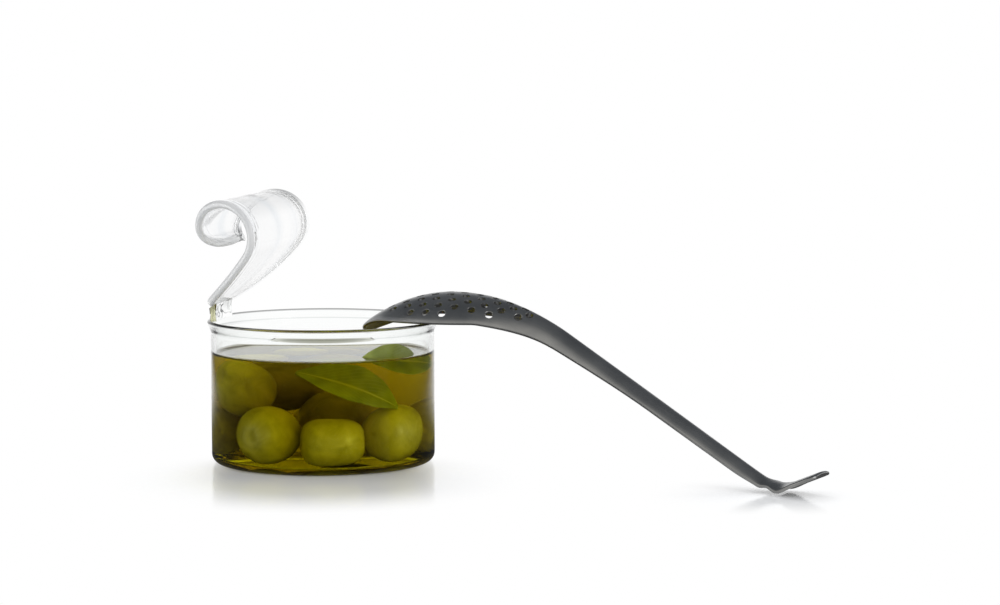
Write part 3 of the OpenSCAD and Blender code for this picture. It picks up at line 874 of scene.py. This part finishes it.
def spoon_tangents(x, u, dx=0.2, du=0.02):
    """Directions along and across the sheet, per millimetre and per share."""
    a, b = np.maximum(x - dx, TIP_END), np.minimum(x + dx, end_x)
    c, d = np.maximum(u - du, -1), np.minimum(u + du, 1)
    along = (spoon_at(b, u) - spoon_at(a, u)) / (b - a)[..., None]
    across = (spoon_at(x, d) - spoon_at(x, c)) / (d - c)[..., None]
    return along, across


def unit(v):
    """Directions of length 1."""
    return v / np.linalg.norm(v, axis=-1, keepdims=True)


def section_l(x):
    """Length of half of the section, as of a flat parabola."""
    return np.sqrt(spoon_half(x) ** 2 + 4 / 3 * spoon_arch(x) ** 2)


HOLE_ROWS, ROW_PITCH, HOLES_END, HOLE_MARGIN = 4, 0.7 * HOLE_PITCH, 0.91 * NECK_AT, 1.5 * HOLE_D


def drain_holes():
    """Places of the holes: staggered rows that draw together towards the neck."""
    found = []
    for k in range(-HOLE_ROWS, HOLE_ROWS + 1):
        x = BOWL_WIDE_AT / 2 + (HOLE_PITCH / 2 if k % 2 else 0)
        while x <= HOLES_END:
            shift = k * ROW_PITCH * (0.5 + spoon_half(np.float64(x)) / BOWL_W)
            length = section_l(np.float64(x))
            if abs(shift) < length - HOLE_MARGIN:
                found.append((x, float(shift / length)))
            x += HOLE_PITCH
    return found


SPOON_COLS, HOLE_SIDES, HOLE_LIP = 26, 20, 0.18
HOLE_CLEAR, HOLE_RING = HOLE_D / 2 + 1.1, HOLE_D / 2 + 0.75
TOE_STEPS, BOWL_STEPS, HANDLE_STEPS, TAIL_STEPS = 26, 36, 40, 44
EDGE_TURNS = (45, 0, -45)
PLAN_W = 26.0
hole_turns = np.linspace(0, 2 * np.pi, HOLE_SIDES, endpoint=False)
hole_circle = np.column_stack([np.cos(hole_turns), np.sin(hole_turns)])


def spoon_stations():
    """Distances from the tip at which the sheet has a row of points."""
    toe = 1 - np.cos(np.linspace(0, np.pi / 2, TOE_STEPS))
    tail = np.linspace(0, 1, TAIL_STEPS)[1:]
    return np.concatenate(
        [
            TIP_END + (BOWL_WIDE_AT - TIP_END) * toe,
            np.linspace(BOWL_WIDE_AT, NECK_AT, BOWL_STEPS)[1:],
            np.linspace(NECK_AT, flare_x, HANDLE_STEPS)[1:],
            flare_x + (end_x - flare_x) * (tail + np.sin(tail * np.pi / 2)) / 2,
        ]
    )


def flat_share(x):
    """Share of half a section that the sheet's faces take; the rest is its rounded edge."""
    return 1 - SPOON_T / 2 / section_l(x)


def sheet_frame(x, u):
    """Middle of the sheet, its two tangents and its normal."""
    along, across = spoon_tangents(x, u)
    return spoon_at(x, u), along, across, unit(np.cross(along, across))


def spoon_plan(stations, holes):
    """The sheet's points as distance and share: a grid clear of the holes, and rings round them."""
    hole_at, along, across, normal = sheet_frame(*np.array(holes).T)
    plan, grid, rings = [], {}, []
    for i, x in enumerate(stations):
        for j in range(SPOON_COLS + 1):
            u = (2 * j / SPOON_COLS - 1) * float(flat_share(x))
            inner = 0 < i < len(stations) - 1 and 0 < j < SPOON_COLS
            p = spoon_at(np.float64(x), np.float64(u))
            if inner and np.linalg.norm(hole_at - p, axis=1).min() < HOLE_CLEAR:
                continue
            grid[i, j] = len(plan)
            plan.append((x, u))
    for k, (x, u) in enumerate(holes):
        e1 = unit(along[k])
        e2 = np.cross(normal[k], e1)
        back = np.linalg.inv([[e @ along[k], e @ across[k]] for e in (e1, e2)])
        rings.append(list(range(len(plan), len(plan) + HOLE_SIDES)))
        for radius in (HOLE_D / 2 + HOLE_LIP, HOLE_RING):
            for way in hole_circle:
                dx, du = back @ (radius * way)
                plan.append((x + dx, u + du))
    return plan, grid, rings


def sheet_triangles(plan, rings):
    """Triangles of the plan, all turned one way, without those that would cover a hole."""
    flat = [Vector((x, u / float(flat_share(np.float64(x))) * PLAN_W)) for x, u in plan]
    fixed = [(r[k], r[(k + 1) % HOLE_SIDES]) for r in rings for k in range(HOLE_SIDES)]
    _, _, triangles, origin, _, _ = delaunay_2d_cdt(flat, fixed, [], 0, 1e-6)
    source = [o[0] for o in origin]
    ring_of = {v: k for k, r in enumerate(rings) for v in r}
    kept = []
    for triangle in triangles:
        a, b, c = (source[v] for v in triangle)
        owners = {ring_of.get(v) for v in (a, b, c)}
        if len(owners) > 1 or None in owners:
            turn = (flat[b] - flat[a]).cross(flat[c] - flat[a])
            kept.append((c, b, a) if turn < 0 else (a, b, c))
    return kept


def strips(loops):
    """Quads between closed loops of points, from each loop to the next."""
    return [
        (a[j], b[j], b[(j + 1) % len(a)], a[(j + 1) % len(a)])
        for a, b in zip(loops, loops[1:])
        for j in range(len(a))
    ]


def outline_of(grid):
    """The grid's points round the sheet's outline."""
    last = max(i for i, _ in grid)
    found = [grid[i, 0] for i in range(last + 1)] + [grid[last, j] for j in range(1, SPOON_COLS)]
    found += [grid[i, SPOON_COLS] for i in range(last, -1, -1)]
    return found + [grid[0, j] for j in range(SPOON_COLS - 1, 0, -1)]


def spoon_mesh():
    """The sheet's two faces from one flat triangulation with holes, closed by rounded edges."""
    holes = drain_holes()
    plan, grid, rings = spoon_plan(spoon_stations(), holes)
    middle, _, _, normal = sheet_frame(*np.array(plan).T)
    half, count = SPOON_T / 2, len(plan)
    points = [*(middle + half * normal), *(middle - half * normal)]
    places = [*plan, *plan]
    top = sheet_triangles(plan, rings)
    faces = top + [tuple(count + v for v in t[::-1]) for t in top]

    hole_at, along, _, hole_n = sheet_frame(*np.array(holes).T)
    for k, ring in enumerate(rings):
        e1 = unit(along[k])
        wall = hole_at[k] + HOLE_D / 2 * hole_circle @ [e1, np.cross(hole_n[k], e1)]
        loops = [ring]
        for height in (half - HOLE_LIP, HOLE_LIP - half):
            loops.append(list(range(len(points), len(points) + HOLE_SIDES)))
            points += list(wall + height * hole_n[k])
            places += [holes[k]] * HOLE_SIDES
        faces += strips([*loops, [count + v for v in ring]])

    border = outline_of(grid)
    ahead = middle[border[1:] + border[:1]] - middle[border[-1:] + border[:-1]]
    up = normal[border]
    outward = unit(np.cross(ahead, up))
    loops = [border]
    for turn in np.radians(EDGE_TURNS):
        loops.append(list(range(len(points), len(points) + len(border))))
        points += list(middle[border] + half * (math.sin(turn) * up + math.cos(turn) * outward))
        places += [plan[v] for v in border]
    faces += strips([*loops, [count + v for v in border]])
    return points, faces, places


spoon_points, spoon_faces, spoon_places = spoon_mesh()
spoon = piece(
    "spoon_pierced",
    turned(spoon_points, SPOON_TURN, (tip_x, SPOON_OFFSET, 0)),
    spoon_faces,
    [tumbled_steel],
    "spoon",
    ["spoon"],
    sharp=50,
)
brush = spoon.data.uv_layers.new(name="brush")
for corner in spoon.data.loops:
    x, u = spoon_places[corner.vertex_index]
    brush.data[corner.index].uv = (x * MM, u * PLAN_W * MM)

# Floor, light and camera

WHITE = (1, 1, 1, 1)
ORIGIN, BACK, LEFT, RIGHT = (0, 0, 0), (0, 1, 0), (-1, 0, 0), (1, 0, 0)
# Middle of each shadow that the table keeps, and where it starts and ends to fade, in metres
FOOT_AT, FOOT_SHADE = (0, -0.055, 0), (0.035, 0.09)
TAIL_AT, TAIL_SHADE = (0.183, -0.098, 0), (0.008, 0.052)
# Ways across and along the painted bright strip that mirrored rays see by the handle, and where its
# fades start and end
STRIP_ACROSS, STRIP_SIDE = (-0.276, -0.96, 0), (0.0255, 0.0315)
STRIP_ALONG, STRIP_END = (0.886, 0.463, 0), (-0.0315, 0.0885)
# Strength of the table through glass, near (painted shade) and far; of its painted gloss, off and
# on the strip; of a painted card
SEEN_THROUGH, PAINTED_SHEEN, PAINTED_CARD = (0.35, 1), (0.07, 0.6), 0.12
CARD_SIDE, CARD_FAR, CARD_BACK = (0.15, 0.3), (0.65, 0.42), (-0.2, 0.1)


def floor_material():
    """A white table with a faint gloss; away from the object it runs into the white backdrop.

    Rays that come through glass see it brighten with distance, a painted shade near the jar.
    Mirrored rays see a white backdrop, a painted bright strip by the handle and a painted dark card
    on either side of the jar.
    """
    material, tree, shader, output = new_material("white_table")
    place = node(tree, "TexCoord").outputs["Object"]
    path = node(tree, "LightPath").outputs
    through = path["Is Transmission Ray"]

    def away(centre, start, end):
        gap = node(tree, "VectorMath", {0: place, 1: centre}, operation="DISTANCE")
        return fade(tree, gap.outputs["Value"], start, end)

    def beyond(way, start, end):
        reach = node(tree, "VectorMath", {0: place, 1: way}, operation="DOT_PRODUCT")
        return fade(tree, reach.outputs["Value"], start, end)

    pale, white = (0.922, 0.93, 0.937), (0.952, 0.96, 0.967)
    tone = ramp(tree, grained(tree, 20, 2), (0.3, pale), (0.7, white))
    tree.links.new(tone, shader.inputs["Base Color"])
    shader.inputs["Roughness"].default_value = 0.12
    shader.inputs["Specular IOR Level"].default_value = 0.5

    far = product(tree, away(FOOT_AT, *FOOT_SHADE), away(TAIL_AT, *TAIL_SHADE))
    share = calc(tree, "MAXIMUM", product(tree, far, path["Is Camera Ray"]), through)
    # Painted shade: through glass the table glows dimmer near the jar
    through_painted_shade = spread(tree, away(ORIGIN, 0.06, 0.48), *SEEN_THROUGH)
    backdrop_and_painted_shade = blend(tree, through, 1.0, through_painted_shade, "FLOAT")
    shown = node(tree, "Emission", {"Color": WHITE, "Strength": backdrop_and_painted_shade}).outputs["Emission"]
    plain = node(tree, "MixShader", {0: share, 1: shader.outputs["BSDF"], 2: shown})

    # Painted reflection: a bright strip on the table by the handle, seen only by mirrored rays
    strip = product(tree, beyond(STRIP_ACROSS, *STRIP_SIDE), beyond(STRIP_ALONG, *STRIP_END))
    backdrop = calc(tree, "MAXIMUM", away(ORIGIN, 0.15, 0.9), beyond(BACK, 0.06, 0.25))
    painted_sheen = blend(tree, backdrop, spread(tree, strip, *PAINTED_SHEEN), 1.0, "FLOAT")
    # Painted reflection: a dark card on either side of the jar, seen only by mirrored rays
    beside = calc(tree, "MAXIMUM", beyond(RIGHT, *CARD_SIDE), beyond(LEFT, *CARD_SIDE))
    painted_cards = product(tree, beside, away(ORIGIN, *CARD_FAR), beyond(BACK, *CARD_BACK))
    painted_reflection = blend(tree, painted_cards, painted_sheen, PAINTED_CARD, "FLOAT")
    dim = node(tree, "Emission", {"Color": WHITE, "Strength": painted_reflection}).outputs["Emission"]
    mirrored = calc(tree, "SUBTRACT", path["Is Glossy Ray"], through, clamp=True)
    mixed = node(tree, "MixShader", {0: mirrored, 1: plain.outputs["Shader"], 2: dim})
    tree.links.new(mixed.outputs["Shader"], output.inputs["Surface"])
    return material


FLOOR_HALF = 6.0
floor_mesh = bpy.data.meshes.new("floor")
floor_mesh.from_pydata(
    [(x * FLOOR_HALF, y * FLOOR_HALF, 0) for x, y in ((-1, -1), (1, -1), (1, 1), (-1, 1))],
    [],
    [(0, 1, 2, 3)],
)
floor_mesh.materials.append(floor_material())
floor = bpy.data.objects.new("floor", floor_mesh)
bpy.context.scene.collection.objects.link(floor)


def studio_world():
    """A white backdrop; what shines or shows through meets grey flags and a dim ceiling."""
    world = bpy.data.worlds.new("studio")
    world.use_nodes = True
    tree = world.node_tree
    tree.nodes.clear()
    way = node(tree, "SeparateXYZ", {"Vector": node(tree, "TexCoord").outputs["Generated"]}).outputs
    x, y, z = way["X"], way["Y"], way["Z"]
    side = calc(tree, "ABSOLUTE", x)
    edges = fade(tree, side, 0.80, 0.87), fade(tree, side, 0.98, 0.95)
    flag = product(tree, *edges, fade(tree, z, 0.6, 0.4))
    through = blend(tree, flag, WHITE, (0.22, 0.23, 0.25, 1))
    through = blend(tree, fade(tree, z, 0.32, 0.65), through, (0.28, 0.30, 0.33, 1))
    fill = blend(tree, fade(tree, x, -0.1, 0.6), (0.22, 0.225, 0.23, 1), (1, 0.99, 0.97, 1))
    through = blend(tree, fade(tree, y, 0.05, -0.25), through, fill)
    front = blend(tree, fade(tree, z, 0.55, 0.9), (0.62, 0.61, 0.59, 1), (0.15, 0.16, 0.175, 1))
    behind = blend(tree, fade(tree, z, 0.12, 0.4), WHITE, (0.13, 0.14, 0.155, 1))
    shine = blend(tree, fade(tree, y, -0.1, 0.3), front, behind)
    path = node(tree, "LightPath").outputs
    soft = blend(tree, path["Is Glossy Ray"], (0.85, 0.855, 0.87, 1), shine)
    soft = blend(tree, path["Is Transmission Ray"], soft, through)
    colour = blend(tree, path["Is Camera Ray"], soft, WHITE)
    light = node(tree, "Background", {"Color": colour, "Strength": 1})
    output = node(tree, "OutputWorld")
    tree.links.new(light.outputs["Background"], output.inputs["Surface"])
    bpy.context.scene.world = world


LAMP_AIM = (0, 0, 0.03)


def softbox(name, at, size, power):
    """An area lamp turned towards the jar; place and size in metres."""
    data = bpy.data.lights.new(name, "AREA")
    data.shape = "RECTANGLE"
    data.size, data.size_y = size
    data.energy = power
    lamp = bpy.data.objects.new(name, data)
    lamp.location = at
    lamp.rotation_euler = (Vector(LAMP_AIM) - Vector(at)).to_track_quat("-Z", "Y").to_euler()
    bpy.context.scene.collection.objects.link(lamp)
    return lamp


studio_world()
softbox("softbox_right", (0.75, -0.65, 0.35), (0.5, 0.7), 2.4)
softbox("softbox_left", (-0.9, -0.5, 0.6), (0.4, 0.6), 0.4)
rim_lamp = softbox("softbox_back", (0.08, 0.55, 0.5), (0.3, 0.3), 2.2)
rim_lamp.visible_glossy = False
rim_lamp.visible_transmission = False

CAMERA_AT, CAMERA_DIP = (0.076245, -1.28452, 0.18815), 5.32
camera_data = bpy.data.cameras.new("camera")
camera_data.lens = 108
camera_data.sensor_width = 36
camera = bpy.data.objects.new("camera", camera_data)
camera.location = CAMERA_AT
camera.rotation_euler = (math.radians(90 - CAMERA_DIP), 0, 0)
bpy.context.scene.collection.objects.link(camera)
bpy.context.scene.camera = camera
bpy.context.scene.view_settings.view_transform = "Standard"
